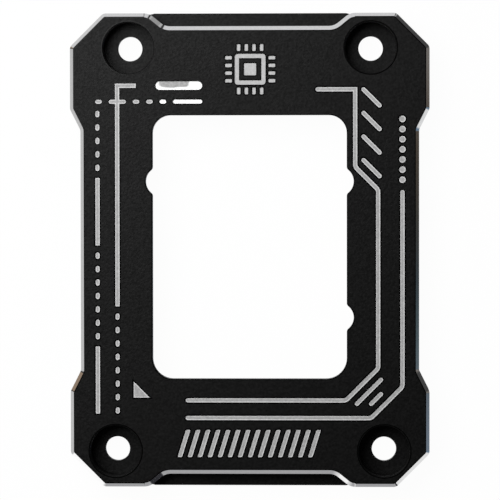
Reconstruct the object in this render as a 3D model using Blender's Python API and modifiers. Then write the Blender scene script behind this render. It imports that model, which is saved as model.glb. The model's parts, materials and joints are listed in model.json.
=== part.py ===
"""A CPU contact frame: one plate milled from aluminium, anodised black, with bright-cut edges.

Four screws hold it to the mainboard round the socket. The rim round its window presses on the
shoulder of the processor's lid, and the pocket underneath leaves room for the socket itself.
All sizes are in metres. X runs across the plate, Y along it and Z up, away from the mainboard.
The origin is the middle of the underside.
"""

import math

import bmesh
import bpy

# Plate
PLATE_WIDTH = 0.0540
PLATE_LENGTH = 0.0712
PLATE_HEIGHT = 0.0060
CORNER_CUT = 0.0050
CORNER_RADIUS = 0.0010

# Long sides, which are drawn in between the four corner pads
WAIST_INSET = 0.00156
PAD_LENGTH = 0.0144
SLANT_RUN = 0.0031

# Short ends, where a low ledge between the pads reaches a little past them
LEDGE_HEIGHT = 0.0015
LEDGE_REACH = 0.00015
LEDGE_END_RUN = 0.0006
STEP_DEPTH = 0.00195
STEP_SIDE_INSET = 0.0143
STEP_SLOPE_RUN = 0.0024
STEP_RADIUS = 0.0022

# Edges
EDGE_CHAMFER = 0.0005
STEP_CHAMFER = 0.0006
UNDERSIDE_CHAMFER = 0.0002

# Screw holes, counterbored from above and placed from the plate's sides and ends
UPPER_SCREW_SIDE_INSET = 0.0088
LOWER_SCREW_SIDE_INSET = 0.0068
UPPER_SCREW_END_INSET = 0.0052
LOWER_SCREW_END_INSET = 0.0054
SCREW_HOLE_RADIUS = 0.00185
COUNTERBORE_RADIUS = 0.00385
COUNTERBORE_FLOOR = 0.0015
COUNTERBORE_RIM_CHAMFER = 0.0001

# Window for the processor's lid, as wide and as long as the borders round it leave it
WINDOW_SIDE_BORDER = 0.0124
WINDOW_UPPER_BORDER = 0.0153
WINDOW_LOWER_BORDER = 0.01627
WINDOW_UPPER_RADIUS = 0.0027
WINDOW_LOWER_RADIUS = 0.0031
NOTCH_DEPTH = 0.00104
NOTCH_RADIUS = 0.0022
NOTCH_MOUTH_RADIUS = 0.0006
NOTCH_MOUTH_ANGLE = math.radians(48.0)
UPPER_NOTCH_DROP = 0.00995
LOWER_NOTCH_RISE = 0.00923

# Underside, with a pocket for the socket and a raised rim that presses on the lid's shoulder
POCKET_SIDE_WALL = 0.00354
POCKET_END_WALL = 0.0100
POCKET_RADIUS = 0.0020
ROOF_THICKNESS = 0.0012
RIM_WIDTH = 0.0016
RIM_HEIGHT = 0.0004

# Engraved marks
MARK_DEPTH = 0.00015
TRACE_WIDTH = 0.00072
TRACE_BEND_RADIUS = 0.0009
DASH_WIDTH = 0.00068
DASH_LENGTH = 0.00105
DASH_GAP = 0.00097
CROSSING_DASH_LENGTH = 0.00265
ROW_DASH_LENGTH = 0.00445
WIDE_BAR_LENGTH = 0.00709
WIDE_BAR_WIDTH = 0.00135
CORNER_BAR_LENGTH = 0.0032
HATCH_LENGTH = 0.00413
DOT_DIAMETER = 0.00107
ARROW_SIDE = 0.00255

# How many of each mark repeat
COLUMN_DASH_COUNTS = (5, 7)
LOWER_DASH_COUNT = 8
ROW_DASH_COUNT = 3
UPPER_HATCH_COUNT = 4
LOWER_HATCH_COUNT = 2
DOT_COUNT = 7

# Marks at the left, placed from the waist and the window's ends
LEFT_COLUMN_INSET = 0.00257
COLUMN_SPACING = 0.00298
COLUMN_BELOW_WINDOW = 0.00528
ROW_ABOVE_WINDOW = 0.00205
CORNER_BAR_RISE = 0.0024

# Marks at the right and below, placed from the window's walls and each other
RIGHT_COLUMN_INSET = 0.00251
INNER_TRACE_GAP = 0.00125
INNER_TRACE_SHIFT = 0.00344
INNER_TRACE_START_INSET = 0.00473
INNER_TRACE_RISE = 0.0018
INNER_TRACE_DROP = 0.00322
OUTER_TRACE_DROP = 0.00266
TRACE_END_INSET = 0.0049
UPPER_BEND_DROP = 0.00777
LOWER_BEND_RISE = 0.00162
DIAGONAL_SPACING = 0.00214
UPPER_HATCH_PITCH = 0.00353
UPPER_HATCH_OFFSET = 0.00245
UPPER_HATCH_CLEARANCE = 0.00226
LOWER_HATCH_DROP = 0.00085
LOWER_HATCH_REACH = 0.00077
DOT_PITCH = 0.001517
ARROW_OFFSET = 0.00292

# How finely arcs are drawn, and how far cutters reach past the plate
ARC_STEP = math.radians(9.0)
CAP_SEGMENTS = 8
DOT_SEGMENTS = 20
HOLE_SEGMENTS = 64
REACH = 0.002
SMOOTH_ANGLE = math.radians(30.0)

# Limits for telling flat faces, upright faces and equal places apart
FLAT_NORMAL = 0.9
UPRIGHT_NORMAL = 0.1
STRAIGHT_ANGLE = 1e-6
SAME_PLACE = 1e-5
WELD_DISTANCE = 1e-6

BLACK_ANODISED = 0
BRIGHT_CUT = 1


def clear_scene():
    for old in list(bpy.data.objects):
        bpy.data.objects.remove(old, do_unlink=True)


def make_collection(name):
    collection = bpy.data.collections.new(name)
    bpy.context.scene.collection.children.link(collection)
    return collection


def make_material(name, colour, roughness, metallic):
    material = bpy.data.materials.new(name)
    material.use_nodes = True
    shader = material.node_tree.nodes["Principled BSDF"]
    shader.inputs["Base Color"].default_value = (*colour, 1.0)
    shader.inputs["Roughness"].default_value = roughness
    shader.inputs["Metallic"].default_value = metallic
    material.diffuse_color = (*colour, 1.0)
    return material


# Outlines in the plane

def heading(start, end):
    return math.atan2(end[1] - start[1], end[0] - start[0])


def step_from(start, angle, distance):
    return (start[0] + distance * math.cos(angle), start[1] + distance * math.sin(angle))


def half_turn(angle):
    """The same angle, brought between minus and plus half a turn."""
    return (angle + math.pi) % (2.0 * math.pi) - math.pi


def fillet(before, corner, after, radius):
    """Points of the arc that rounds one corner of a path."""
    to_before = heading(corner, before)
    opening = half_turn(heading(corner, after) - to_before)
    turn = math.pi - abs(opening)
    if radius <= 0.0 or turn < STRAIGHT_ANGLE:
        return [corner]
    middle = to_before + opening / 2.0
    centre = step_from(corner, middle, radius / math.sin(abs(opening) / 2.0))
    side = -1.0 if opening > 0.0 else 1.0
    steps = max(2, math.ceil(turn / ARC_STEP))
    points = []
    for step in range(steps + 1):
        angle = middle + math.pi + side * (turn * step / steps - turn / 2.0)
        points.append(step_from(centre, angle, radius))
    return points


def rounded_path(corners, closed=True):
    """Corners are (x, y, radius); the result is the path with every corner rounded."""
    points = []
    count = len(corners)
    for index, (x, y, radius) in enumerate(corners):
        if not closed and index in (0, count - 1):
            points.append((x, y))
            continue
        before = corners[index - 1][:2]
        after = corners[(index + 1) % count][:2]
        points.extend(fillet(before, (x, y), after, radius))
    return points


def rounded_rectangle(width, low, high, lower_radius, upper_radius):
    half = width / 2.0
    lower = [(-half, low, lower_radius), (half, low, lower_radius)]
    upper = [(half, high, upper_radius), (-half, high, upper_radius)]
    return rounded_path(lower + upper)


def cap(centre, direction, radius):
    """Points of the half circle that closes a groove, without its two ends."""
    points = []
    for step in range(1, CAP_SEGMENTS):
        angle = direction - math.pi / 2.0 + math.pi * step / CAP_SEGMENTS
        points.append(step_from(centre, angle, radius))
    return points


def stroke(path, width, round_start=True, round_end=True):
    """Outline of a groove of even width along a path; a rounded end stops at the path's end."""
    half = width / 2.0
    path = list(path)
    if round_start:
        path[0] = step_from(path[0], heading(path[0], path[1]), half)
    if round_end:
        path[-1] = step_from(path[-1], heading(path[-1], path[-2]), half)
    left = []
    right = []
    for index, point in enumerate(path):
        before = path[max(index - 1, 0)]
        after = path[min(index + 1, len(path) - 1)]
        angle_in = heading(before, point) if index > 0 else heading(point, after)
        angle_out = heading(point, after) if index < len(path) - 1 else angle_in
        turn = half_turn(angle_out - angle_in)
        to_left = angle_in + turn / 2.0 + math.pi / 2.0
        distance = half / math.cos(turn / 2.0)
        left.append(step_from(point, to_left, distance))
        right.append(step_from(point, to_left, -distance))
    end_cap = cap(path[-1], heading(path[-2], path[-1]), half) if round_end else []
    start_cap = cap(path[0], heading(path[1], path[0]), half) if round_start else []
    return right + end_cap + left[::-1] + start_cap


def circle(centre, radius):
    turn = 2.0 * math.pi / DOT_SEGMENTS
    return [step_from(centre, turn * step, radius) for step in range(DOT_SEGMENTS)]


# Solids

def solid_from_outlines(name, outlines, bottom, top, collection, materials):
    """Flat outlines, drawn as one filled curve, thickened from bottom to top and made a mesh."""
    curve = bpy.data.curves.new(name + "_outline", "CURVE")
    curve.dimensions = "2D"
    curve.fill_mode = "BOTH"
    curve.extrude = (top - bottom) / 2.0
    for outline in outlines:
        spline = curve.splines.new("POLY")
        spline.points.add(len(outline) - 1)
        for point, (x, y) in zip(spline.points, outline):
            point.co = (x, y, 0.0, 1.0)
        spline.use_cyclic_u = True
    drawn = bpy.data.objects.new(name + "_outline", curve)
    drawn.location.z = (bottom + top) / 2.0
    bpy.context.scene.collection.objects.link(drawn)
    bpy.context.view_layer.update()
    solid = mesh_from_evaluated(name, drawn, collection, materials)
    bpy.data.objects.remove(drawn, do_unlink=True)
    return solid


def mesh_from_evaluated(name, source, collection, materials):
    """A new welded mesh object, in the place of the curve or of the mesh with modifiers."""
    graph = bpy.context.evaluated_depsgraph_get()
    mesh = bpy.data.meshes.new_from_object(source.evaluated_get(graph))
    mesh.name = name
    welded = bmesh.new()
    welded.from_mesh(mesh)
    bmesh.ops.remove_doubles(welded, verts=welded.verts, dist=WELD_DISTANCE)
    bmesh.ops.recalc_face_normals(welded, faces=welded.faces)
    welded.to_mesh(mesh)
    welded.free()
    mesh.materials.clear()
    for material in materials:
        mesh.materials.append(material)
    solid = bpy.data.objects.new(name, mesh)
    solid.matrix_world = source.matrix_world.copy()
    collection.objects.link(solid)
    bpy.context.view_layer.update()
    return solid


def as_cutter(solid, slot):
    """A cutter is drawn as wires, and what it cuts takes its material slot."""
    solid.display_type = "WIRE"
    solid.hide_render = True
    for face in solid.data.polygons:
        face.material_index = slot
    return solid


def combine(solid, other, operation):
    boolean = solid.modifiers.new(operation.lower() + "_" + other.name, "BOOLEAN")
    boolean.operation = operation
    boolean.solver = "EXACT"
    boolean.object = other


def cut(solid, cutter):
    combine(solid, cutter, "DIFFERENCE")


def add(solid, piece):
    combine(solid, piece, "UNION")


# Plate

def side_x():
    return PLATE_WIDTH / 2.0


def end_y():
    return PLATE_LENGTH / 2.0


def waist_x():
    return side_x() - WAIST_INSET


def plate_outline():
    """Right half from the lower end to the upper one, then the left half back down."""
    pad_y = end_y() - PAD_LENGTH
    quarter = [
        (waist_x(), pad_y - SLANT_RUN),
        (side_x(), pad_y),
        (side_x(), end_y() - CORNER_CUT),
        (side_x() - CORNER_CUT, end_y()),
    ]
    right = [(x, -y) for x, y in reversed(quarter)] + quarter
    left = [(-x, -y) for x, y in right]
    return rounded_path([(x, y, CORNER_RADIUS) for x, y in right + left])


def step_wall_y():
    return end_y() - STEP_DEPTH


def step_corner_x():
    return side_x() - STEP_SIDE_INSET


def step_shoulder_x():
    """Where the step's slope runs out to the plate's end."""
    return step_corner_x() + STEP_SLOPE_RUN


def end_ledge_outline(end):
    """The bar that carries a ledge past the pads; its inner half lies inside the plate."""
    shoulder = step_shoulder_x()
    half = [
        (shoulder, end_y() - STEP_DEPTH),
        (shoulder, end_y()),
        (shoulder - LEDGE_END_RUN, end_y() + LEDGE_REACH),
    ]
    outline = half + [(-x, y) for x, y in reversed(half)]
    return [(x, y * end) for x, y in outline]


def end_recess_outline(end):
    """What is milled away above a ledge; end is 1 for the upper end and -1 for the lower one."""
    edge = end_y()
    shoulder = step_shoulder_x()
    half = [
        (step_corner_x(), step_wall_y(), STEP_RADIUS),
        (shoulder, edge, STEP_RADIUS),
        (shoulder + REACH, edge, 0.0),
    ]
    mirrored = [(-x, y, radius) for x, y, radius in reversed(half)]
    edge_path = rounded_path(mirrored + half, closed=False)[1:-1]
    beyond = edge + REACH
    path = [(edge_path[0][0], beyond)] + edge_path + [(edge_path[-1][0], beyond)]
    return [(x, y * end) for x, y in path]


def chamfer_width(edge):
    """The chamfer that one edge of the blank gets, or none."""
    flat = any(abs(face.normal.z) > FLAT_NORMAL for face in edge.link_faces)
    upright = any(abs(face.normal.z) < UPRIGHT_NORMAL for face in edge.link_faces)
    if not (flat and upright):
        return 0.0
    middle = (edge.verts[0].co + edge.verts[1].co) / 2.0
    if abs(middle.z) < SAME_PLACE:
        return UNDERSIDE_CHAMFER
    if abs(middle.z - PLATE_HEIGHT) > SAME_PLACE:
        return 0.0
    across = abs(middle.x) < step_shoulder_x() + STEP_RADIUS
    along = step_wall_y() - SAME_PLACE < abs(middle.y) < end_y() - SAME_PLACE
    return STEP_CHAMFER if across and along else EDGE_CHAMFER


def weigh_chamfers(mesh):
    """Store each edge's share of the widest chamfer as its bevel weight, and give that width."""
    widest = max(EDGE_CHAMFER, STEP_CHAMFER, UNDERSIDE_CHAMFER)
    shaped = bmesh.new()
    shaped.from_mesh(mesh)
    weights = shaped.edges.layers.float.new("bevel_weight_edge")
    for edge in shaped.edges:
        edge[weights] = chamfer_width(edge) / widest
    shaped.to_mesh(mesh)
    shaped.free()
    return widest


def make_blank(name, collection, cutters, materials):
    """The plate with its ledges and chamfers, before any hole is made."""
    slab = solid_from_outlines("slab", [plate_outline()], 0.0, PLATE_HEIGHT, cutters, materials)
    for label, end in (("upper", 1), ("lower", -1)):
        ledge = solid_from_outlines(
            label + "_end_ledge",
            [end_ledge_outline(end)],
            0.0,
            LEDGE_HEIGHT + REACH,
            cutters,
            materials,
        )
        add(slab, as_cutter(ledge, BLACK_ANODISED))
        recess = solid_from_outlines(
            label + "_end_recess",
            [end_recess_outline(end)],
            LEDGE_HEIGHT,
            PLATE_HEIGHT + REACH,
            cutters,
            materials,
        )
        cut(slab, as_cutter(recess, BLACK_ANODISED))
    bpy.context.view_layer.update()
    blank = mesh_from_evaluated(name, slab, collection, materials)
    bpy.data.objects.remove(slab, do_unlink=True)
    blank.data.transform(blank.matrix_world)
    blank.matrix_world.identity()
    chamfer = blank.modifiers.new("chamfer", "BEVEL")
    chamfer.limit_method = "WEIGHT"
    chamfer.width = weigh_chamfers(blank.data)
    chamfer.segments = 1
    chamfer.material = BRIGHT_CUT
    chamfer.use_clamp_overlap = False
    chamfer.loop_slide = False
    return blank


# Openings

def window_x():
    return side_x() - WINDOW_SIDE_BORDER


def window_top():
    return end_y() - WINDOW_UPPER_BORDER


def window_bottom():
    return WINDOW_LOWER_BORDER - end_y()


def window_outline():
    """The window with one notch in its left wall and two in its right one."""
    half = window_x()
    low = window_bottom()
    high = window_top()
    corners = [(-half, low, WINDOW_LOWER_RADIUS), (half, low, WINDOW_LOWER_RADIUS)]
    corners += notch(half, low + LOWER_NOTCH_RISE, 1)
    corners += notch(half, high - UPPER_NOTCH_DROP, 1)
    corners += [(half, high, WINDOW_UPPER_RADIUS), (-half, high, WINDOW_UPPER_RADIUS)]
    corners += notch(-half, high - UPPER_NOTCH_DROP, -1)
    return rounded_path(corners)


def notch(wall_x, centre_y, side):
    """A V whose point is rounded to NOTCH_DEPTH; side is 1 on the right wall, -1 on the left."""
    point_depth = NOTCH_DEPTH + NOTCH_RADIUS * (1.0 / math.cos(NOTCH_MOUTH_ANGLE) - 1.0)
    half_mouth = point_depth / math.tan(NOTCH_MOUTH_ANGLE)
    return [
        (wall_x, centre_y - side * half_mouth, NOTCH_MOUTH_RADIUS),
        (wall_x + side * point_depth, centre_y, NOTCH_RADIUS),
        (wall_x, centre_y + side * half_mouth, NOTCH_MOUTH_RADIUS),
    ]


def pocket_outline():
    width = 2.0 * (waist_x() - POCKET_SIDE_WALL)
    half = end_y() - POCKET_END_WALL
    return rounded_rectangle(width, -half, half, POCKET_RADIUS, POCKET_RADIUS)


def rim_outline():
    return rounded_rectangle(
        2.0 * (window_x() + RIM_WIDTH),
        window_bottom() - RIM_WIDTH,
        window_top() + RIM_WIDTH,
        WINDOW_LOWER_RADIUS + RIM_WIDTH,
        WINDOW_UPPER_RADIUS + RIM_WIDTH,
    )


def pocket_cutter(cutters, materials):
    """The socket's pocket, which leaves a raised rim round the window."""
    roof = PLATE_HEIGHT - ROOF_THICKNESS
    pocket = solid_from_outlines(
        "socket_pocket", [pocket_outline()], -REACH, roof, cutters, materials
    )
    rim = solid_from_outlines(
        "contact_rim", [rim_outline()], roof - RIM_HEIGHT, roof + REACH, cutters, materials
    )
    cut(pocket, as_cutter(rim, BLACK_ANODISED))
    return as_cutter(pocket, BLACK_ANODISED)


def screw_places():
    upper_x = side_x() - UPPER_SCREW_SIDE_INSET
    upper_y = end_y() - UPPER_SCREW_END_INSET
    lower_x = side_x() - LOWER_SCREW_SIDE_INSET
    lower_y = LOWER_SCREW_END_INSET - end_y()
    return {
        "upper_left": (-upper_x, upper_y),
        "upper_right": (upper_x, upper_y),
        "lower_left": (-lower_x, lower_y),
        "lower_right": (lower_x, lower_y),
    }


def screw_hole_cutter(name, place, cutters, materials):
    """A stepped drill: a profile in the XZ plane, turned about its own axis."""
    rim = COUNTERBORE_RIM_CHAMFER
    profile = [
        (0.0, PLATE_HEIGHT + REACH),
        (COUNTERBORE_RADIUS + rim + REACH, PLATE_HEIGHT + REACH),
        (COUNTERBORE_RADIUS, PLATE_HEIGHT - rim),
        (COUNTERBORE_RADIUS, COUNTERBORE_FLOOR),
        (SCREW_HOLE_RADIUS, COUNTERBORE_FLOOR),
        (SCREW_HOLE_RADIUS, UNDERSIDE_CHAMFER),
        (SCREW_HOLE_RADIUS + UNDERSIDE_CHAMFER + REACH, -REACH),
        (0.0, -REACH),
    ]
    mesh = bpy.data.meshes.new(name)
    corners = [(radius, 0.0, height) for radius, height in profile]
    mesh.from_pydata(corners, [(index, index + 1) for index in range(len(corners) - 1)], [])
    turned = bpy.data.objects.new(name + "_profile", mesh)
    cutters.objects.link(turned)
    turned.location = (place[0], place[1], 0.0)
    screw = turned.modifiers.new("turn", "SCREW")
    screw.axis = "Z"
    screw.steps = HOLE_SEGMENTS
    screw.render_steps = HOLE_SEGMENTS
    screw.use_merge_vertices = True
    screw.merge_threshold = WELD_DISTANCE
    bpy.context.view_layer.update()
    drill = mesh_from_evaluated(name, turned, cutters, materials)
    bpy.data.objects.remove(turned, do_unlink=True)
    return as_cutter(drill, BLACK_ANODISED)


# Engraved marks at the left

def left_column_x():
    return LEFT_COLUMN_INSET - waist_x()


def corner_line_x():
    return left_column_x() + COLUMN_SPACING


def dash_row_y():
    return window_top() + ROW_ABOVE_WINDOW


def dash_row_start():
    return left_column_x() - DASH_WIDTH / 2.0


def crossing_dash_start():
    return dash_row_start() + DASH_LENGTH + DASH_GAP


def column_top():
    return dash_row_y() - DASH_WIDTH / 2.0 - DASH_GAP


def column_bottom():
    return window_bottom() - COLUMN_BELOW_WINDOW


def long_dash_length():
    """What the short dashes and the gaps leave for each long dash of the column."""
    groups = len(COLUMN_DASH_COUNTS)
    short_dashes = sum(COLUMN_DASH_COUNTS) * (DASH_LENGTH + DASH_GAP)
    gaps = (groups - 1) * DASH_GAP
    return (column_top() - column_bottom() - short_dashes - gaps) / groups


def outer_column():
    """Short and long dashes down the left side."""
    x = left_column_x()
    y = column_top()
    outlines = []
    for short_dashes in COLUMN_DASH_COUNTS:
        for _ in range(short_dashes):
            outlines.append(stroke([(x, y), (x, y - DASH_LENGTH)], DASH_WIDTH))
            y -= DASH_LENGTH + DASH_GAP
        long_end = y - long_dash_length()
        outlines.append(stroke([(x, y), (x, long_end)], TRACE_WIDTH, False, False))
        y = long_end - DASH_GAP
    return outlines


def inner_column():
    """The corner-shaped line at the upper left and the dashes that carry on below it."""
    x = corner_line_x()
    bottom = column_bottom()
    pitch = DASH_LENGTH + DASH_GAP
    line_end = bottom + LOWER_DASH_COUNT * pitch
    top = dash_row_y() + CORNER_BAR_RISE
    bar_end = x - TRACE_WIDTH / 2.0 + CORNER_BAR_LENGTH
    outlines = [stroke([(bar_end, top), (x, top), (x, line_end)], TRACE_WIDTH, False, False)]
    for index in range(LOWER_DASH_COUNT):
        y = bottom + index * pitch
        outlines.append(stroke([(x, y), (x, y + DASH_LENGTH)], DASH_WIDTH))
    return outlines


def dash_row():
    """The row of dashes over the window's left corner, and the wide bar above its right end."""
    y = dash_row_y()
    x = dash_row_start()
    outlines = [stroke([(x, y), (x + DASH_LENGTH, y)], DASH_WIDTH)]
    x = crossing_dash_start() + CROSSING_DASH_LENGTH + DASH_GAP
    for _ in range(ROW_DASH_COUNT):
        outlines.append(stroke([(x, y), (x + DASH_LENGTH, y)], DASH_WIDTH))
        x += DASH_LENGTH + DASH_GAP
    right_end = x + ROW_DASH_LENGTH
    outlines.append(stroke([(x, y), (right_end, y)], DASH_WIDTH))
    bar = [(right_end - WIDE_BAR_LENGTH, y + CORNER_BAR_RISE), (right_end, y + CORNER_BAR_RISE)]
    outlines.append(stroke(bar, WIDE_BAR_WIDTH))
    return outlines


def crossing_dash():
    """The dash of that row that crosses the corner-shaped line."""
    x = crossing_dash_start()
    y = dash_row_y()
    return stroke([(x, y), (x + CROSSING_DASH_LENGTH, y)], DASH_WIDTH)


# Engraved marks at the right and below

def right_column_x():
    return waist_x() - RIGHT_COLUMN_INSET


def inner_trace_x():
    return window_x() + INNER_TRACE_GAP


def inner_trace_low():
    return window_bottom() - INNER_TRACE_DROP


def trace_left_end():
    return TRACE_END_INSET - window_x()


def upper_bend_y():
    return window_top() - UPPER_BEND_DROP


def outer_trace_top():
    return upper_bend_y() - INNER_TRACE_SHIFT


def slope_offset(place):
    """How far right of the line y = x a lower slope lies; place 0 is the inner trace's own."""
    inner = inner_trace_x() + INNER_TRACE_SHIFT - window_bottom() - LOWER_BEND_RISE
    return inner + place * DIAGONAL_SPACING


def inner_trace():
    """From over the window down its right side, out along a slope and back under the window."""
    first_x = inner_trace_x()
    second_x = first_x + INNER_TRACE_SHIFT
    top = dash_row_y() + INNER_TRACE_RISE
    low = inner_trace_low()
    corners = [
        (window_x() - INNER_TRACE_START_INSET, top, 0.0),
        (first_x, top, 0.0),
        (first_x, upper_bend_y(), TRACE_BEND_RADIUS),
        (second_x, outer_trace_top(), TRACE_BEND_RADIUS),
        (second_x, second_x - slope_offset(0), TRACE_BEND_RADIUS),
        (low + slope_offset(0), low, TRACE_BEND_RADIUS),
        (trace_left_end(), low, 0.0),
    ]
    return stroke(rounded_path(corners, closed=False), TRACE_WIDTH)


def outer_trace():
    x = right_column_x()
    low = inner_trace_low() - OUTER_TRACE_DROP
    slope = slope_offset(LOWER_HATCH_COUNT + 1)
    corners = [
        (x, outer_trace_top(), 0.0),
        (x, x - slope, TRACE_BEND_RADIUS),
        (low + slope, low, TRACE_BEND_RADIUS),
        (trace_left_end(), low, 0.0),
    ]
    return stroke(rounded_path(corners, closed=False), TRACE_WIDTH)


def upper_hatching():
    """Slanted bars beside the inner trace, which slope as its upper bend does."""
    x = inner_trace_x() + UPPER_HATCH_OFFSET
    lowest = upper_bend_y() + UPPER_HATCH_CLEARANCE - UPPER_HATCH_OFFSET
    reach = HATCH_LENGTH / 2.0 * math.cos(math.pi / 4.0)
    outlines = []
    for index in range(UPPER_HATCH_COUNT):
        y = lowest + index * UPPER_HATCH_PITCH
        outlines.append(stroke([(x - reach, y + reach), (x + reach, y - reach)], TRACE_WIDTH))
    return outlines


def lower_hatching():
    """Bars between the traces' lower slopes, cut off at the same right and lower limits."""
    half = TRACE_WIDTH / 2.0
    tip = half * math.cos(math.pi / 4.0)
    low = inner_trace_low() - LOWER_HATCH_DROP + half - tip
    right = inner_trace_x() + INNER_TRACE_SHIFT + LOWER_HATCH_REACH - half + tip
    outlines = []
    for place in range(1, LOWER_HATCH_COUNT + 1):
        offset = slope_offset(place)
        outlines.append(stroke([(low + offset, low), (right, right - offset)], TRACE_WIDTH))
    return outlines


def dots():
    x = right_column_x()
    radius = DOT_DIAMETER / 2.0
    lowest = outer_trace_top() + DASH_GAP + radius
    return [circle((x, lowest + index * DOT_PITCH), radius) for index in range(DOT_COUNT)]


def arrow():
    """The small triangle that shows which corner is the processor's first."""
    x = -window_x() - ARROW_OFFSET
    y = inner_trace_low() + TRACE_WIDTH / 2.0
    return [(x, y), (x + ARROW_SIDE, y), (x, y + ARROW_SIDE)]


def mark_cutters(cutters, materials):
    """All marks in one cutter, but for the dash that crosses another mark."""
    outlines = outer_column() + inner_column() + dash_row() + upper_hatching()
    outlines += lower_hatching() + dots() + [inner_trace(), outer_trace(), arrow()]
    floor = PLATE_HEIGHT - MARK_DEPTH
    top = PLATE_HEIGHT + REACH
    marks = solid_from_outlines("marks", outlines, floor, top, cutters, materials)
    crossing = solid_from_outlines(
        "crossing_mark", [crossing_dash()], floor, top, cutters, materials
    )
    return [as_cutter(marks, BRIGHT_CUT), as_cutter(crossing, BRIGHT_CUT)]


# Whole part

def finish(solid):
    """Apply the modifiers, leave the underside black and shade the arcs smooth."""
    graph = bpy.context.evaluated_depsgraph_get()
    mesh = bpy.data.meshes.new_from_object(solid.evaluated_get(graph))
    blank = solid.data
    solid.modifiers.clear()
    solid.data = mesh
    bpy.data.meshes.remove(blank)
    mesh.name = solid.name
    for face in mesh.polygons:
        if face.normal.z < -UPRIGHT_NORMAL:
            face.material_index = BLACK_ANODISED
    mesh.shade_smooth()
    mesh.set_sharp_from_angle(angle=SMOOTH_ANGLE)


def build():
    clear_scene()
    parts = make_collection("cpu_contact_frame")
    cutters = make_collection("cutters")
    materials = [
        make_material("black_anodised_aluminium", (0.022, 0.022, 0.025), 0.5, 0.6),
        make_material("bright_cut_aluminium", (0.72, 0.72, 0.73), 0.3, 1.0),
    ]
    plate = make_blank("contact_frame", parts, cutters, materials)
    window = solid_from_outlines(
        "window", [window_outline()], -REACH, PLATE_HEIGHT + REACH, cutters, materials
    )
    cut(plate, pocket_cutter(cutters, materials))
    cut(plate, as_cutter(window, BLACK_ANODISED))
    for label, place in screw_places().items():
        cut(plate, screw_hole_cutter(label + "_screw_hole", place, cutters, materials))
    for marks in mark_cutters(cutters, materials):
        cut(plate, marks)
    bpy.context.view_layer.update()
    finish(plate)


build()
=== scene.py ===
# %% [markdown]
# # A milled contact frame
#
# The object is one flat plate of aluminium that clamps a processor in its socket. It is blasted
# with fine grit and anodised black. After that its upper edges are cut bright with a diamond tool,
# and thin lines, dashes and dots are engraved, which show the bare metal again.
#
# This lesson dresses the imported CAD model: it copies its mesh, adds the fine work that the solids
# leave out, and gives each surface its finish. The camera and the light come last.

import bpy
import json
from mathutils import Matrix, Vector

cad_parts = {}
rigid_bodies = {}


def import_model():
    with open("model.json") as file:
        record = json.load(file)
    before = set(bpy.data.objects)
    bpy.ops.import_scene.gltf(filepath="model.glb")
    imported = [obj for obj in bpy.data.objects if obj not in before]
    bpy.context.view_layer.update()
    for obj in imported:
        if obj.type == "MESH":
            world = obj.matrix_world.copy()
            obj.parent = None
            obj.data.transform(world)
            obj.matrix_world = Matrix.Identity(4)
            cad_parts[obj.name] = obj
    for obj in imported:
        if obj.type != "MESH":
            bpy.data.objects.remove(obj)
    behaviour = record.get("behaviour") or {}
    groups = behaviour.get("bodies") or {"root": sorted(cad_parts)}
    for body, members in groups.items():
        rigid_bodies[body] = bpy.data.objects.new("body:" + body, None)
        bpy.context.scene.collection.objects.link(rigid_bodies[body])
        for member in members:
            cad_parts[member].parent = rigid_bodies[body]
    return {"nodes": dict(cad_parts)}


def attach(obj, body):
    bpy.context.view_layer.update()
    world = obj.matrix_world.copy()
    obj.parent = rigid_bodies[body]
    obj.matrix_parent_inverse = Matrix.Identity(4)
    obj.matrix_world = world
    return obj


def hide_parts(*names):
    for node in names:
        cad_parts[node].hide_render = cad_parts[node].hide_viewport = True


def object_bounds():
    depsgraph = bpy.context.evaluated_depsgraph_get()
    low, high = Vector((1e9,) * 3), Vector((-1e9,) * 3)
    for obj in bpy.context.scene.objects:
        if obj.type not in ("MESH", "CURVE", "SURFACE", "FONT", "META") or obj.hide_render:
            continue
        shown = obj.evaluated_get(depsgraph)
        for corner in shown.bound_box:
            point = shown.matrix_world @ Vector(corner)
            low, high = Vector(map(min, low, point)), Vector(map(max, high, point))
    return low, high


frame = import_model()
cad_low, cad_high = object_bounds()
print("CAD box", [round(v * 1000, 2) for v in (*cad_low, *cad_high)], "mm")

# %% Modules and names
import json
import math

import bpy
from mathutils import Matrix, Vector

BODY = "root"
CAD_NODE = "contact_frame"
MM = 0.001
PLATE_TOP = cad_high.z
MARK_DEPTH = 0.15 * MM
MARK_FLOOR = PLATE_TOP - MARK_DEPTH

# %% [markdown]
# ## Working by hand, in code
#
# An operator acts on everything that is selected, and the loaded nodes are still selected. So
# everything is deselected before each step, and one object is made active. Faces are then picked
# by where they lie and which way they point, as a person would click them.

# %% Helpers for picking objects and faces
HEIGHT_TOLERANCE = 0.004 * MM
LEVEL_NORMAL = 0.99


def pick(thing):
    """Make one object the only selected one and the active one, in object mode."""
    if bpy.context.mode != "OBJECT":
        bpy.ops.object.mode_set(mode="OBJECT")
    bpy.ops.object.select_all(action="DESELECT")
    thing.select_set(True)
    bpy.context.view_layer.objects.active = thing
    return thing


def pick_faces(thing, wanted):
    """Select the faces that pass the test, leave the object in edit mode, and count them."""
    pick(thing)
    bpy.ops.object.mode_set(mode="EDIT")
    bpy.ops.mesh.select_mode(type="FACE")
    bpy.ops.mesh.select_all(action="DESELECT")
    bpy.ops.object.mode_set(mode="OBJECT")
    count = 0
    for face in thing.data.polygons:
        face.select = wanted(face)
        count += face.select
    bpy.ops.object.mode_set(mode="EDIT")
    return count


def open_edges(thing):
    """How many edges don't join exactly two faces. A closed mesh has none."""
    pick(thing)
    bpy.ops.object.mode_set(mode="EDIT")
    bpy.ops.mesh.select_mode(type="EDGE")
    bpy.ops.mesh.select_all(action="DESELECT")
    bpy.ops.mesh.select_non_manifold()
    bpy.ops.object.mode_set(mode="OBJECT")
    return sum(edge.select for edge in thing.data.edges)


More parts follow.
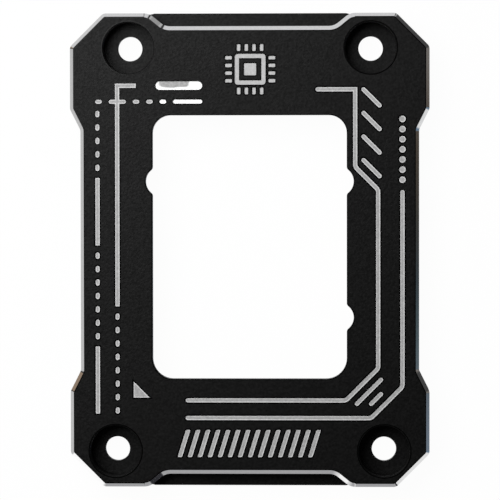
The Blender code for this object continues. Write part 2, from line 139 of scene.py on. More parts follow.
def facing_up_at(height):
    """A test for the faces that lie level at this height."""
    def wanted(face):
        level = face.normal.z > LEVEL_NORMAL
        return level and abs(face.center.z - height) < HEIGHT_TOLERANCE
    return wanted


def bake_place(thing):
    """Put the object's place, turn and scale into its mesh, with its origin at zero."""
    pick(thing)
    bpy.ops.object.transform_apply(location=True, rotation=True, scale=True)
    return thing

# %% [markdown]
# ## The plate
#
# The real plate is milled from one block, so it stays one mesh here. The CAD node can't be
# changed, so its mesh is copied. Such a mesh is loose triangles, and their points are merged
# first.

# %% Copy the CAD mesh and merge its points
MERGE_DISTANCE = 0.002 * MM

source = frame["nodes"][CAD_NODE]
plate = bpy.data.objects.new("milled_frame", source.data.copy())
bpy.context.scene.collection.objects.link(plate)
pick(plate)
plate.data.materials.clear()
for attribute in [a.name for a in plate.data.attributes if a.name.startswith("sharp")]:
    plate.data.attributes.remove(plate.data.attributes[attribute])
bpy.ops.object.mode_set(mode="EDIT")
bpy.ops.mesh.select_all(action="SELECT")
bpy.ops.mesh.customdata_custom_splitnormals_clear()
bpy.ops.mesh.remove_doubles(threshold=MERGE_DISTANCE)
bpy.ops.object.mode_set(mode="OBJECT")
print("plate:", len(plate.data.polygons), "faces,", open_edges(plate), "open edges")

# %% [markdown]
# ## Engraving
#
# Two places on the front hold an engraved field: a sign in the upper one and a row of slanted bars
# in the lower one. Each is drawn flat, extruded to a solid and cut out of the plate with a
# Boolean, at the depth of the other marks. A Boolean leaves clean upright walls, as a cutter does.

# %% Helpers for drawing a flat outline
def flat_square(name, width, height):
    """A flat rectangle round the middle, at the height of the marks' floors."""
    bpy.ops.object.select_all(action="DESELECT")
    bpy.ops.mesh.primitive_plane_add(size=1.0, location=(0.0, 0.0, MARK_FLOOR))
    square = bpy.context.active_object
    square.name = name
    square.scale = (width, height, 1.0)
    return bake_place(square)


def round_corners(shape, radius, segments=4):
    """Bevel each corner of a flat outline to an arc."""
    pick(shape)
    bpy.ops.object.mode_set(mode="EDIT")
    bpy.ops.mesh.select_mode(type="VERT")
    bpy.ops.mesh.select_all(action="SELECT")
    bpy.ops.mesh.bevel(offset=radius, segments=segments, affect="VERTICES")
    bpy.ops.object.mode_set(mode="OBJECT")
    return shape


def copies(shape, places):
    """The shape once at each place (x, y, turn), each copy with its own mesh."""
    made = []
    for x, y, turn in places:
        one = bpy.data.objects.new(shape.name, shape.data.copy())
        bpy.context.scene.collection.objects.link(one)
        one.data.transform(Matrix.Translation((x, y, 0.0)) @ Matrix.Rotation(turn, 4, "Z"))
        made.append(one)
    bpy.data.objects.remove(shape, do_unlink=True)
    return made


def join(shapes, name):
    """Join the shapes to one object and name it."""
    bpy.ops.object.select_all(action="DESELECT")
    for shape in shapes:
        shape.select_set(True)
    bpy.context.view_layer.objects.active = shapes[0]
    bpy.ops.object.join()
    shapes[0].name = name
    return shapes[0]

# %% Helpers for cutting it out of the plate
CUTTER_REACH = 0.5 * MM


def raise_to_solid(shape):
    """Extrude a flat outline up through the plate's top."""
    pick(shape)
    bpy.ops.object.mode_set(mode="EDIT")
    bpy.ops.mesh.select_all(action="SELECT")
    lift = MARK_DEPTH + CUTTER_REACH
    bpy.ops.mesh.extrude_region_move(TRANSFORM_OT_translate={"value": (0.0, 0.0, lift)})
    bpy.ops.mesh.select_all(action="SELECT")
    bpy.ops.mesh.normals_make_consistent(inside=False)
    bpy.ops.object.mode_set(mode="OBJECT")
    return shape


def engrave(target, cutter):
    """Cut the cutter out of the target and remove it."""
    before = len(target.data.polygons)
    boolean = target.modifiers.new("engrave", "BOOLEAN")
    boolean.operation = "DIFFERENCE"
    boolean.solver = "EXACT"
    boolean.use_self = True
    boolean.object = cutter
    pick(target)
    bpy.ops.object.modifier_apply(modifier=boolean.name)
    bpy.data.objects.remove(cutter, do_unlink=True)
    more = len(target.data.polygons) - before
    print("engraved:", more, "faces more,", open_edges(target), "open edges")

# %% [markdown]
# ### The chip sign
#
# The sign is the plain outline of a chip: a square body, a square core and four pins on each side.
# The body is a rounded square that is inset, and its inner face is deleted, so that only the wall
# is left. One pin is drawn and copied to its sixteen places.

# %% The sign's body and core
SIGN_CENTRE = (0.11 * MM, 27.18 * MM)
SIGN_BODY = 4.7 * MM
SIGN_CORNER = 0.5 * MM
SIGN_WALL = 0.72 * MM
SIGN_CORE = 1.9 * MM
CORE_CORNER = 0.2 * MM

body = round_corners(flat_square("sign_body", SIGN_BODY, SIGN_BODY), SIGN_CORNER)
pick(body)
bpy.ops.object.mode_set(mode="EDIT")
bpy.ops.mesh.select_mode(type="FACE")
bpy.ops.mesh.select_all(action="SELECT")
bpy.ops.mesh.inset(thickness=SIGN_WALL, use_boundary=True)
bpy.ops.mesh.delete(type="FACE")
bpy.ops.object.mode_set(mode="OBJECT")
core = round_corners(flat_square("sign_core", SIGN_CORE, SIGN_CORE), CORE_CORNER)
print("sign body:", len(body.data.polygons), "faces, core:", len(core.data.polygons))

# %% The sign's pins
PINS_A_SIDE = 4
PIN_LENGTH = 1.1 * MM
PIN_WIDTH = 0.6 * MM
PIN_CORNER = 0.18 * MM
PIN_PITCH = 1.15 * MM
PIN_GAP = 0.35 * MM

pin = round_corners(flat_square("sign_pin", PIN_LENGTH, PIN_WIDTH), PIN_CORNER)
pin_distance = SIGN_BODY / 2 + PIN_GAP + PIN_LENGTH / 2
pin_places = []
for quarter in range(4):
    turn = quarter * math.pi / 2
    for index in range(PINS_A_SIDE):
        across = (index - (PINS_A_SIDE - 1) / 2) * PIN_PITCH
        spot = Matrix.Rotation(turn, 2) @ Vector((pin_distance, across))
        pin_places.append((spot.x, spot.y, turn))
print("pins:", len(pin_places))

# %% Engrave the sign
sign = join([body, core] + copies(pin, pin_places), "sign_cutter")
sign.data.transform(Matrix.Translation((*SIGN_CENTRE, 0.0)))
engrave(plate, raise_to_solid(sign))

# %% [markdown]
# ### The row of slanted bars
#
# The bars look like the hatching beside the lines. One bar is a rectangle whose upper corners are
# moved to the right, which slants it without the shear tool, because that needs a window. Its
# copies stand in a row at an even pitch.

# %% One slanted bar
BAR_WIDTH = 0.76 * MM
BAR_HEIGHT = 4.2 * MM
BAR_LEAN = 1.3 * MM
BAR_CORNER = 0.2 * MM

bar = flat_square("bar", BAR_WIDTH, BAR_HEIGHT)
pick(bar)
bpy.ops.object.mode_set(mode="EDIT")
bpy.ops.mesh.select_mode(type="VERT")
bpy.ops.mesh.select_all(action="DESELECT")
bpy.ops.object.mode_set(mode="OBJECT")
for corner in bar.data.vertices:
    corner.select = corner.co.y > 0.0
bpy.ops.object.mode_set(mode="EDIT")
bpy.ops.transform.translate(value=(BAR_LEAN, 0.0, 0.0))
bpy.ops.object.mode_set(mode="OBJECT")
round_corners(bar, BAR_CORNER, segments=3)
print("bar:", len(bar.data.vertices), "points")

# %% Engrave the row
BAR_COUNT = 14
BAR_PITCH = 1.51 * MM
BARS_CENTRE = (-0.1 * MM, -29.05 * MM)

first = -(BAR_COUNT - 1) / 2 * BAR_PITCH - BAR_LEAN / 2
bars = copies(bar, [(first + index * BAR_PITCH, 0.0, 0.0) for index in range(BAR_COUNT)])
bar_row = join(bars, "bars_cutter")
bar_row.data.transform(Matrix.Translation((*BARS_CENTRE, 0.0)))
engrave(plate, raise_to_solid(bar_row))

# %% [markdown]
# ## Clean faces
#
# The flat triangles are now dissolved into large faces, which are easy to pick and to inset. The
# Booleans leave a few slivers on the underside, so its faces are deleted and filled again.
#
# A Boolean can hand back its points in another order each run, and dissolving depends on that
# order. The flat faces may then be divided differently, while the shape stays the same.

# %% Dissolve the flat triangles and refill the underside
FLAT_ANGLE = math.radians(0.5)


def refill():
    """Delete the selected faces and fill their outlines with plain triangles."""
    bpy.ops.mesh.delete(type="FACE")
    bpy.ops.mesh.select_mode(type="EDGE")
    bpy.ops.mesh.select_non_manifold(extend=False)
    bpy.ops.mesh.fill(use_beauty=True)


def on_underside(face):
    """All its corners lie at the bottom of the plate."""
    limit = cad_low.z + HEIGHT_TOLERANCE
    return all(plate.data.vertices[v].co.z < limit for v in face.vertices)


pick(plate)
bpy.ops.object.mode_set(mode="EDIT")
bpy.ops.mesh.select_all(action="SELECT")
bpy.ops.mesh.dissolve_limited(angle_limit=FLAT_ANGLE)
count = pick_faces(plate, on_underside)
refill()
bpy.ops.object.mode_set(mode="OBJECT")
print("refilled", count, "faces,", open_edges(plate), "open edges")

# %% [markdown]
# ## Fine bands beside the cuts
#
# Along every cut on the top face a narrow band is darker and smoother than the blasted face:
# painted shade along the cut's edge. In a mark a thin black strip runs along the foot of the wall,
# and beside it the floor has a brighter rim. All are flat strips, so an inset of the faces draws
# them
# exactly: the strip between the old edge and the new one is the band.
#
# An inset can leave a large face with many holes joined by hidden, overlapping edges. So the
# inner faces are deleted and their outlines filled again with triangles.

# %% Slots for the finishes
SLOTS = [
    "blasted_black",
    "black_and_shade_band",
    "bright_chamfer",
    "mark_floor",
    "mark_rim",
    "highlight_white_mark",
    "sign_field",
]
BLASTED, BLACK_AND_SHADE, CHAMFER, FLOOR, RIM, HIGHLIGHT_WHITE, SIGN = range(len(SLOTS))
for name in SLOTS:
    plate.data.materials.append(bpy.data.materials.new(name))
for face in plate.data.polygons:
    face.material_index = BLASTED
print("slots:", len(plate.data.materials))

# %% Inset the top face and the marks' floors
SHADE_BAND_WIDTH = 0.16 * MM
FOOT_WIDTH = 0.04 * MM
RIM_WIDTH = 0.13 * MM


def set_slot(index):
    """Give the selected faces this finish."""
    plate.active_material_index = index
    bpy.ops.object.material_slot_assign()


def band_along_edges(height, width, old_slot, band_slot, inner_slot):
    """Inset the faces of one slot at one height; the strip at their edges gets its own slot."""
    at_height = facing_up_at(height)
    count = pick_faces(plate, lambda face: at_height(face) and face.material_index == old_slot)
    set_slot(band_slot)
    bpy.ops.mesh.inset(thickness=width, use_boundary=True, use_even_offset=True)
    refill()
    set_slot(inner_slot)
    bpy.ops.mesh.select_all(action="SELECT")
    bpy.ops.mesh.normals_make_consistent(inside=False)
    bpy.ops.object.mode_set(mode="OBJECT")
    level = round(height / MM, 2)
    print("banded", count, "faces at", level, "mm,", open_edges(plate), "open edges")


# The top face's band is painted shade along the edges of the cuts.
band_along_edges(PLATE_TOP, SHADE_BAND_WIDTH, BLASTED, BLACK_AND_SHADE, BLASTED)
band_along_edges(MARK_FLOOR, FOOT_WIDTH, BLASTED, BLACK_AND_SHADE, FLOOR)
band_along_edges(MARK_FLOOR, RIM_WIDTH, FLOOR, RIM, FLOOR)

# %% [markdown]
# ## Which face has which finish
#
# The chamfers are found by their slope and their height, and the marks' walls are the upright
# faces above the marks' floors. Three marks at the upper left are painted near white, a painted
# highlight of light glaring on them, and the sign's field is a little lighter too. Both are found
# by boxes seen from above.

# %% Tests for the chamfers and the marks
# Boxes round the three upper-left marks, whose floors and walls get a painted highlight.
HIGHLIGHT_BOXES_MM = [
    ((-14.3, 23.9), (-6.9, 25.6)),
    ((-14.05, 21.9), (-12.4, 22.8)),
    ((-11.7, 21.9), (-6.9, 22.8)),
]
SIGN_BOX_MM = ((-4.2, 22.9), (4.4, 31.4))
CHAMFER_NORMAL = (0.3, 0.95)
CHAMFER_DROP = (0.3 * MM, 1.0 * MM)
UPRIGHT_NORMAL = 0.1


def inside(point, box):
    """The box is (left, lower) and (right, upper), in millimetres."""
    (x0, y0), (x1, y1) = box
    return x0 * MM < point.x < x1 * MM and y0 * MM < point.y < y1 * MM


def is_chamfer(face):
    """The wells' rims slope as the edges do, but they are only a tenth of a millimetre high."""
    sloped = CHAMFER_NORMAL[0] < face.normal.z < CHAMFER_NORMAL[1]
    lowest = min(plate.data.vertices[v].co.z for v in face.vertices)
    return sloped and PLATE_TOP - CHAMFER_DROP[1] < lowest < PLATE_TOP - CHAMFER_DROP[0]


def is_mark_wall(face):
    """Upright, with no corner below the marks' floors."""
    heights = [plate.data.vertices[v].co.z for v in face.vertices]
    upright = abs(face.normal.z) < UPRIGHT_NORMAL
    return upright and min(heights) > MARK_FLOOR - HEIGHT_TOLERANCE

# %% Sort the faces into finishes
tally = dict.fromkeys(SLOTS, 0.0)
for face in plate.data.polygons:
    if is_chamfer(face):
        face.material_index = CHAMFER
    in_highlight = any(inside(face.center, box) for box in HIGHLIGHT_BOXES_MM)
    if is_mark_wall(face):
        face.material_index = HIGHLIGHT_WHITE if in_highlight else BLACK_AND_SHADE
    if face.material_index in (FLOOR, RIM):
        if in_highlight:
            face.material_index = HIGHLIGHT_WHITE
        elif inside(face.center, SIGN_BOX_MM):
            face.material_index = SIGN
    tally[SLOTS[face.material_index]] += face.area / MM ** 2
print("areas in mm2:", {name: round(area, 1) for name, area in tally.items()})

# %% [markdown]
# ## Smooth arcs and flat sides
#
# The arcs of the outline are rows of narrow facets, and smooth shading hides the steps between
# them. A long straight side is different. Shaded smooth, it would borrow the direction of the arcs
# beside it, and its reflection would be smeared, so the straight faces are set flat again.

# %% Smooth arcs, flat straight sides
SMOOTH_ANGLE = math.radians(28.0)
STRAIGHT_SPAN = 1.2 * MM


def is_straight(face):
    """Long in plan, so a straight side and not one facet of an arc."""
    corners = [plate.data.vertices[v].co.xy for v in face.vertices]
    return max((a - b).length for a in corners for b in corners) > STRAIGHT_SPAN


pick(plate)
bpy.ops.object.shade_smooth_by_angle(angle=SMOOTH_ANGLE)
count = pick_faces(plate, is_straight)
bpy.ops.mesh.faces_shade_flat()
bpy.ops.object.mode_set(mode="OBJECT")
print("flat faces:", count)

# %% [markdown]
# ## Finishes
#
# Each finish is a small node tree on the shader. Patterns read Object coordinates, which are in
# metres here, so a noise scale of 2900 gives grains of about a third of a millimetre. Most helpers
# below add one node, link it and hand back its output.

# %% Helpers for feeding and mixing nodes
def grey(level):
    """A grey as a socket holds it, with its fourth value at 1."""
    return (level, level, level, 1.0)


def feed(tree, value, socket):
    """Link another node's output to the socket, or set the socket to a fixed value."""
    if isinstance(value, bpy.types.NodeSocket):
        tree.links.new(value, socket)
    else:
        socket.default_value = value


def maths(tree, operation, *terms):
    """A Math node. Each term is a number or another node's output."""
    node = tree.nodes.new("ShaderNodeMath")
    node.operation = operation
    for term, socket in zip(terms, node.inputs):
        feed(tree, term, socket)
    return node.outputs[0]


def mix_colours(tree, factor, first, second):
    """The first colour where the factor is 0, the second where it is 1."""
    node = tree.nodes.new("ShaderNodeMix")
    node.data_type = "RGBA"
    feed(tree, factor, node.inputs["Factor"])
    feed(tree, first, node.inputs["A"])
    feed(tree, second, node.inputs["B"])
    return node.outputs["Result"]


def mix_shaders(tree, factor, first, second):
    """The first shader where the factor is 0, the second where it is 1."""
    node = tree.nodes.new("ShaderNodeMixShader")
    feed(tree, factor, node.inputs["Fac"])
    feed(tree, first, node.inputs[1])
    feed(tree, second, node.inputs[2])
    return node.outputs[0]

# %% Helpers for building a finish
def finish_nodes(name):
    """The material's node tree, its shader and the Object coordinates."""
    material = bpy.data.materials[name]
    material.use_nodes = True
    tree = material.node_tree
    shader = tree.nodes["Principled BSDF"]
    coordinates = tree.nodes.new("ShaderNodeTexCoord")
    return tree, shader, coordinates.outputs["Object"]


def noise(tree, vector, scale, detail=2.0, roughness=0.5):
    """A noise from 0 to 1; the larger its scale, the finer its grains."""
    node = tree.nodes.new("ShaderNodeTexNoise")
    node.inputs["Scale"].default_value = scale
    node.inputs["Detail"].default_value = detail
    node.inputs["Roughness"].default_value = roughness
    tree.links.new(vector, node.inputs["Vector"])
    return node.outputs["Fac"]


def ramp(tree, factor, stops):
    """A colour ramp; stops are (position, grey or colour)."""
    node = tree.nodes.new("ShaderNodeValToRGB")
    band = node.color_ramp
    while len(band.elements) < len(stops):
        band.elements.new(0.5)
    for element, (position, value) in zip(band.elements, stops):
        element.position = position
        colour = value if isinstance(value, tuple) else (value, value, value)
        element.color = (*colour, 1.0)
    tree.links.new(factor, node.inputs["Fac"])
    return node.outputs["Color"]


def spread(tree, factor, low, high):
    """Map a factor from 0..1 to low..high."""
    node = tree.nodes.new("ShaderNodeMapRange")
    node.inputs["To Min"].default_value = low
    node.inputs["To Max"].default_value = high
    tree.links.new(factor, node.inputs["Value"])
    return node.outputs["Result"]


def bump(tree, height, strength, distance):
    """Tilt the surface's normal by a height pattern; distance is its depth in metres."""
    node = tree.nodes.new("ShaderNodeBump")
    node.inputs["Strength"].default_value = strength
    node.inputs["Distance"].default_value = distance
    tree.links.new(height, node.inputs["Height"])
    return node.outputs["Normal"]

# %% [markdown]
# ### Blasted black anodising
#
# The oxide layer is dyed black and has no metal look of its own: it is a dark, dielectric coat
# over tiny pits. So it isn't metallic here. A fine noise bumps it and varies its colour a little
# from grain to grain. The same noise varies the gloss through the specular tint, because the
# specular level has to stay one number for the export.

# %% Blasted black
GRAIN_SCALE = 2900.0
GRAIN_DEPTH = 0.022 * MM
NOISE_LOW = 0.3
NOISE_HIGH = 0.7


def black_finish(name, dark, light, roughness, gloss, dim, grain):
    """dim is how much the dullest grains reflect, against 1 for the glossiest."""
    tree, shader, place = finish_nodes(name)
    fine = noise(tree, place, GRAIN_SCALE, detail=1.0)
    colour = ramp(tree, fine, [(NOISE_LOW, dark), (NOISE_HIGH, light)])
    tint = ramp(tree, fine, [(NOISE_LOW, dim), (NOISE_HIGH, 1.0)])
    tree.links.new(colour, shader.inputs["Base Color"])
    tree.links.new(tint, shader.inputs["Specular Tint"])
    shader.inputs["Roughness"].default_value = roughness
    shader.inputs["Specular IOR Level"].default_value = gloss
    tree.links.new(bump(tree, fine, grain, GRAIN_DEPTH), shader.inputs["Normal"])


black_finish(
    "blasted_black", dark=0.0018, light=0.0042, roughness=0.38, gloss=0.123, dim=0.72, grain=0.85
)
# A darker, smoother black: painted shade in the band along the cuts, and the black of the marks'
# walls and feet.
black_finish(
    "black_and_shade_band", dark=0.0004, light=0.0010, roughness=0.16, gloss=0.10, dim=0.9, grain=0.15
)

# %% [markdown]
# ### Bright-cut metal
#
# A diamond tool leaves bare aluminium that is almost a mirror. The engraved floors were burnt or
# milled with a fine tool: bare metal too, but matt and pale. They look the same from every side,
# so they are made as a matt grey and not as a mirror that would show the studio.

# %% Chamfers and marks
TOOL_SCALE = 2700.0
TOOL_DEPTH = 0.01 * MM
ROUGHNESS_SPREAD = 0.2
DULL_GREY = 0.37
DULL_VARIATION = 0.20


def mottled(tree, place, level, variation):
    """A grey that varies from spot to spot; the same noise is handed back for the bump."""
    fine = noise(tree, place, TOOL_SCALE, roughness=0.6)
    low, high = level * (1.0 - variation), level * (1.0 + variation)
    return fine, ramp(tree, fine, [(NOISE_LOW, low), (NOISE_HIGH, high)])


def bright_finish(name, level, variation, roughness, grain, metallic=0.0):
    """Bare metal; level is how light its grey is."""
    tree, shader, place = finish_nodes(name)
    fine, colour = mottled(tree, place, level, variation)
    tree.links.new(colour, shader.inputs["Base Color"])
    shader.inputs["Metallic"].default_value = metallic
    smoothest = roughness * (1.0 - ROUGHNESS_SPREAD)
    roughest = roughness * (1.0 + ROUGHNESS_SPREAD)
    tree.links.new(spread(tree, fine, smoothest, roughest), shader.inputs["Roughness"])
    tree.links.new(bump(tree, fine, grain, TOOL_DEPTH), shader.inputs["Normal"])


bright_finish("bright_chamfer", 0.86, 0.04, roughness=0.09, grain=0.06, metallic=1.0)
bright_finish("mark_floor", DULL_GREY, DULL_VARIATION, roughness=0.62, grain=0.25)
bright_finish("mark_rim", 0.66, 0.12, roughness=0.55, grain=0.25)
# The three upper-left marks: near white, a painted highlight of light glaring on them.
bright_finish("highlight_white_mark", 0.96, 0.02, roughness=0.60, grain=0.15)
bright_finish("sign_field", 0.50, 0.12, roughness=0.60, grain=0.25)

# %% [markdown]
# ### The dull patch in the wide bar
#
# The wide bar's painted highlight doesn't cover all of it. At its upper left the painted highlight
# stops, and there the floor is as dull as in the other marks. The Object coordinates are moved and
# scaled so that the patch reaches from -1 to 1. The length of their squares gives a rounded oblong
# instead of an oval, and a noise makes its outline uneven. The sum is halved, because a colour ramp
# ends at 1.

# %% Distance from the middle of the patch
PATCH_CENTRE = (-11.35 * MM, 25.25 * MM)
PATCH_REACH = (2.3 * MM, 0.78 * MM)

tree = bpy.data.materials["highlight_white_mark"].node_tree
shader = tree.nodes["Principled BSDF"]
place = tree.nodes["Texture Coordinate"].outputs["Object"]
on_patch = tree.nodes.new("ShaderNodeMapping")
on_patch.inputs["Scale"].default_value = (1.0 / PATCH_REACH[0], 1.0 / PATCH_REACH[1], 0.0)
on_patch.inputs["Location"].default_value = (
    -PATCH_CENTRE[0] / PATCH_REACH[0],
    -PATCH_CENTRE[1] / PATCH_REACH[1],
    0.0,
)
tree.links.new(place, on_patch.inputs["Vector"])
squares = tree.nodes.new("ShaderNodeVectorMath")
squares.operation = "MULTIPLY"
tree.links.new(on_patch.outputs["Vector"], squares.inputs[0])
tree.links.new(on_patch.outputs["Vector"], squares.inputs[1])
distance = tree.nodes.new("ShaderNodeVectorMath")
distance.operation = "LENGTH"
tree.links.new(squares.outputs["Vector"], distance.inputs[0])

# %% Blend the dull grey into the white
PATCH_NOISE_SCALE = 900.0
PATCH_UNEVENNESS = 0.9
PATCH_EDGE = (0.66, 0.76)

blotches = noise(tree, place, PATCH_NOISE_SCALE)
uneven = maths(tree, "MULTIPLY_ADD", blotches, PATCH_UNEVENNESS, distance.outputs["Value"])
halved = maths(tree, "MULTIPLY", uneven, 0.5)
outside = ramp(tree, halved, [(PATCH_EDGE[0], 0.0), (PATCH_EDGE[1], 1.0)])
dull = mottled(tree, place, DULL_GREY, DULL_VARIATION)[1]
highlight_colour = shader.inputs["Base Color"].links[0].from_socket
patched = mix_colours(tree, outside, dull, highlight_colour)
tree.links.new(patched, shader.inputs["Base Color"])
print("highlight_white_mark has", len(tree.nodes), "nodes")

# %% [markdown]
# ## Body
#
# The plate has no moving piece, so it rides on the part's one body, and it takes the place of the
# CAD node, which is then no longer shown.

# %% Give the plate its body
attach(plate, BODY)
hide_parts(CAD_NODE)

# %% [markdown]
# ## Camera
#
# The camera stands half a metre above the plate, a little to the right of its middle and towards
# its upper end, and looks almost straight down through a long lens.

# %% Place the camera
CAMERA_PLACE = Vector((15.63, 12.33, 488.9)) * MM
CAMERA_TURN = (0.0254, -0.0322, 0.0004)
LENS = 231.79
SENSOR_WIDTH = 36.0
NEAREST = 0.01
FARTHEST = 20.0

camera_data = bpy.data.cameras.new("camera")
camera = bpy.data.objects.new("camera", camera_data)
bpy.context.scene.collection.objects.link(camera)
camera_data.lens = LENS
camera_data.sensor_width = SENSOR_WIDTH
camera_data.clip_start = NEAREST
camera_data.clip_end = FARTHEST
world_to_camera = (
    Matrix.Rotation(CAMERA_TURN[2], 4, "Z")
    @ Matrix.Rotation(CAMERA_TURN[1], 4, "Y")
    @ Matrix.Rotation(CAMERA_TURN[0], 4, "X")
)
camera.matrix_world = Matrix.Translation(CAMERA_PLACE) @ world_to_camera.transposed()
bpy.context.scene.camera = camera
print("camera", [round(v / MM, 1) for v in CAMERA_PLACE], "mm")

# %% [markdown]
# ## Floor
#
# The plate lies on a pale table. The camera sees it almost white, and a small matt share keeps the
# plate's soft shadow. Glossy rays pass through it, so the bright metal shows the studio's cards
# and not the table.

# %% Table
FLOOR_GAP = 0.05 * MM
TABLE_RADIUS = 1.6
TABLE_SIDES = 96

bpy.ops.object.select_all(action="DESELECT")
bpy.ops.mesh.primitive_circle_add(
    vertices=TABLE_SIDES,
    radius=TABLE_RADIUS,
    fill_type="NGON",
    location=(0.0, 0.0, cad_low.z - FLOOR_GAP),
)
table = bake_place(bpy.context.active_object)
table.name = "table"
print("table at", round((cad_low.z - FLOOR_GAP) / MM, 2), "mm")

# %% Paint the table
TABLE_GREY = 0.9
TABLE_GLOW = 0.97

table_paint = bpy.data.materials.new("table_paint")
table_paint.use_nodes = True
table.data.materials.append(table_paint)
tree = table_paint.node_tree
tree.nodes.clear()
output = tree.nodes.new("ShaderNodeOutputMaterial")
path = tree.nodes.new("ShaderNodeLightPath")
matt = tree.nodes.new("ShaderNodeBsdfDiffuse")
matt.inputs["Color"].default_value = grey(TABLE_GREY)
glow = tree.nodes.new("ShaderNodeEmission")
glow.inputs["Color"].default_value = grey(1.0)
clear = tree.nodes.new("ShaderNodeBsdfTransparent")
seen = mix_shaders(tree, TABLE_GLOW, matt.outputs[0], glow.outputs[0])
by_camera = mix_shaders(tree, path.outputs["Is Camera Ray"], matt.outputs[0], seen)
by_gloss = mix_shaders(tree, path.outputs["Is Glossy Ray"], by_camera, clear.outputs[0])
tree.links.new(by_gloss, output.inputs["Surface"])

# %% [markdown]
# ## Studio
#
# Bare metal shows what stands round it. The studio is a ring of cards at table height: pale ones
# above and at both lower corners, grey ones on the left and below, and dark ones on the right.
# Narrow dark gaps part some of them. They are painted on the world by compass direction, and only
# glossy rays see them. Everything else gets a weak, even light.

# %% The ring of cards
# Each stop is a direction in degrees, counted from the right and on past the top, and a colour.
RING = [
    (8.0, (0.18, 0.17, 0.16)),
    (20.0, (0.06, 0.06, 0.06)),
    (50.0, (0.06, 0.06, 0.06)),
    (57.0, (0.42, 0.42, 0.42)),
    (63.0, (0.48, 0.48, 0.48)),
    (66.0, (0.03, 0.03, 0.03)),
    (71.0, (0.03, 0.03, 0.03)),
    (73.0, (0.66, 0.66, 0.67)),
    (81.0, (0.68, 0.68, 0.69)),
    (130.0, (0.68, 0.68, 0.69)),
    (152.0, (0.62, 0.61, 0.60)),
    (154.0, (0.30, 0.225, 0.165)),
    (162.0, (0.30, 0.225, 0.165)),
    (164.0, (0.05, 0.05, 0.05)),
    (169.0, (0.05, 0.05, 0.05)),
    (171.0, (0.56, 0.56, 0.56)),
    (212.0, (0.58, 0.58, 0.58)),
    (222.0, (1.12, 1.12, 1.12)),
    (232.0, (1.12, 1.12, 1.12)),
    (240.0, (0.80, 0.80, 0.80)),
    (258.0, (0.40, 0.40, 0.41)),
    (280.0, (0.38, 0.38, 0.39)),
    (293.0, (0.42, 0.42, 0.43)),
    (296.0, (0.03, 0.03, 0.035)),
    (306.0, (0.03, 0.03, 0.035)),
    (308.0, (0.84, 0.84, 0.84)),
    (334.0, (0.80, 0.80, 0.80)),
    (346.0, (0.13, 0.20, 0.28)),
]
print("ring:", len(RING), "stops")

# %% [markdown]
# ### The gap on the right
#
# A colour ramp holds only 256 steps, which is 1.4 degrees of the full ring. The gap between two
# cards on the right needs finer ones, so it has a ramp of its own, 16 degrees wide.

# %% The gap
GAP_REACH = 8.0
GAP = [
    (-8.0, (0.13, 0.20, 0.28)),
    (-4.9, (0.17, 0.21, 0.26)),
    (-4.1, (0.13, 0.15, 0.18)),
    (-3.2, (0.08, 0.12, 0.13)),
    (-2.0, (0.025, 0.035, 0.045)),
    (-1.2, (0.045, 0.045, 0.04)),
    (0.0, (0.05, 0.04, 0.03)),
    (1.2, (0.09, 0.07, 0.055)),
    (2.0, (0.20, 0.19, 0.18)),
    (8.0, (0.18, 0.17, 0.16)),
]
print("gap:", len(GAP), "stops")

# %% [markdown]
# ### Painting the world
#
# The compass direction of a ray comes from its X and Y. As a share of a full turn, from 0 to 1, it
# runs through the ring's colour ramp. Higher up, where Z grows, the cards fade into a dark
# ceiling.

# %% Compass direction
world = bpy.data.worlds.new("studio")
bpy.context.scene.world = world
world.use_nodes = True
tree = world.node_tree
tree.nodes.clear()
output = tree.nodes.new("ShaderNodeOutputWorld")
path = tree.nodes.new("ShaderNodeLightPath")
direction = tree.nodes.new("ShaderNodeTexCoord")
split = tree.nodes.new("ShaderNodeSeparateXYZ")
tree.links.new(direction.outputs["Generated"], split.inputs["Vector"])
compass = maths(tree, "ARCTAN2", split.outputs["Y"], split.outputs["X"])
full_turn = maths(tree, "MULTIPLY_ADD", compass, 1.0 / (2.0 * math.pi), 1.0)
around = maths(tree, "FRACT", full_turn)

# %% Colours of the cards
far_cards = ramp(tree, around, [(angle / 360.0, colour) for angle, colour in RING])
in_gap = maths(tree, "COMPARE", compass, 0.0, math.radians(GAP_REACH))
across_gap = tree.nodes.new("ShaderNodeMapRange")
across_gap.inputs["From Min"].default_value = math.radians(-GAP_REACH)
across_gap.inputs["From Max"].default_value = math.radians(GAP_REACH)
tree.links.new(compass, across_gap.inputs["Value"])
gap_stops = [((angle + GAP_REACH) / (2.0 * GAP_REACH), colour) for angle, colour in GAP]
gap_cards = ramp(tree, across_gap.outputs["Result"], gap_stops)
cards = mix_colours(tree, in_gap, far_cards, gap_cards)

# %% Ceiling
# The sines of the heights, seen from the plate, at which the cards begin to fade and end.
CARDS_FADE = 0.35
CARDS_END = 0.6
CEILING = 0.08

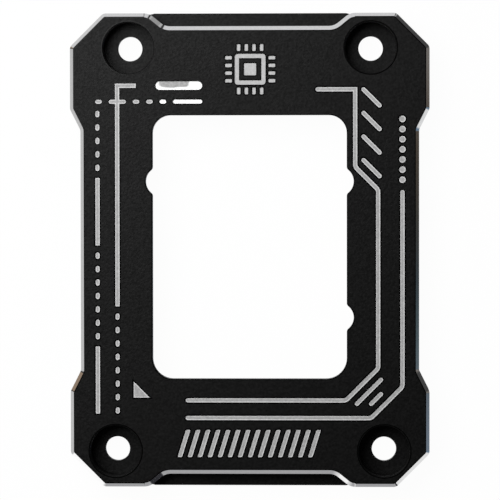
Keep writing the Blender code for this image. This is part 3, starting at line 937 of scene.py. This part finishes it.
low_down = ramp(tree, split.outputs["Z"], [(CARDS_FADE, 1.0), (CARDS_END, 0.0)])
studio_colour = mix_colours(tree, low_down, grey(CEILING), cards)

# %% What each kind of ray sees
AMBIENT = 0.12


def background(tree, colour):
    """A Background shader of one colour, or of another node's output."""
    node = tree.nodes.new("ShaderNodeBackground")
    feed(tree, colour, node.inputs["Color"])
    return node.outputs[0]


ambient = background(tree, grey(AMBIENT))
studio = background(tree, studio_colour)
white = background(tree, grey(1.0))
for_gloss = mix_shaders(tree, path.outputs["Is Glossy Ray"], ambient, studio)
for_camera = mix_shaders(tree, path.outputs["Is Camera Ray"], for_gloss, white)
tree.links.new(for_camera, output.inputs["Surface"])
print("world:", len(tree.nodes), "nodes")

# %% [markdown]
# ## Key lamp
#
# One round lamp at the upper left shades the screw wells and the grain. Its power is worked out
# from the light wanted on the plate, so its size and distance can change while the plate stays as
# bright.

# %% Key lamp
KEY_DIRECTION = math.radians(134.5)
KEY_HEIGHT = math.radians(58.0)
KEY_DISTANCE = 0.34
KEY_SIZE = 0.29
KEY_LEVEL = 1.0

key_place = KEY_DISTANCE * Vector((
    math.cos(KEY_DIRECTION) * math.cos(KEY_HEIGHT),
    math.sin(KEY_DIRECTION) * math.cos(KEY_HEIGHT),
    math.sin(KEY_HEIGHT),
))
key_data = bpy.data.lights.new("key", "AREA")
key_data.shape = "DISK"
key_data.size = KEY_SIZE
disc_area = math.pi * KEY_SIZE ** 2 / 4
radiance = KEY_LEVEL * math.pi * KEY_DISTANCE ** 2 / (disc_area * math.sin(KEY_HEIGHT))
key_data.energy = radiance * disc_area * math.pi
key = bpy.data.objects.new("key", key_data)
bpy.context.scene.collection.objects.link(key)
key.location = key_place
key.rotation_euler = (-key_place).to_track_quat("-Z", "Y").to_euler()
print("key lamp", round(key_data.energy, 3), "W")

# %% [markdown]
# ## Colours as written
#
# The Standard view shows a colour as it is written, with no film curve over it.

# %% Colour management
bpy.context.scene.view_settings.view_transform = "Standard"
print("view:", bpy.context.scene.view_settings.view_transform)
